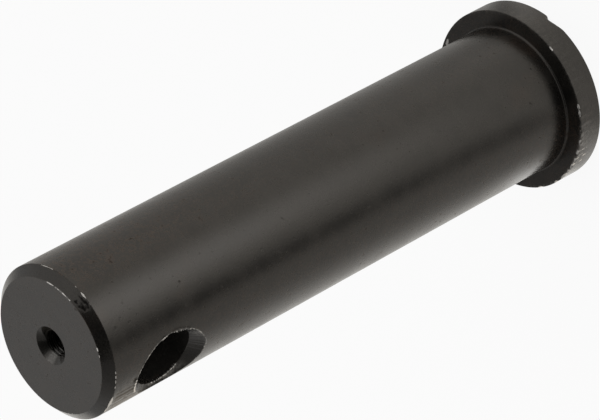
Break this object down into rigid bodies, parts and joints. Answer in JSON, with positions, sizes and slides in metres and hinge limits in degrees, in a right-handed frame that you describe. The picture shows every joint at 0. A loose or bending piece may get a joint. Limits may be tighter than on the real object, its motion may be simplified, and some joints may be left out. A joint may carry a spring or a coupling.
{
  "type": "hitch pin",
  "caption": "Turned black-oxide steel hitch pin with a flat round head, a chamfered tip, a countersunk cross hole for a keeper bolt and a tapped hole in the tip's end.",
  "frame": {"origin": "centre of the head's outer face, on which the pin stands", "axes": "+Z along the shank towards the tip, +X along the cross hole"},
  "size_m": [0.0396, 0.0396, 0.135],
  "materials": {
    "black_steel": "black oxide on turned steel, satin, worn bright at the edges"
  },
  "bodies": {
    "root": {"hitch_pin": "black_steel"}
  },
  "joints": []
}
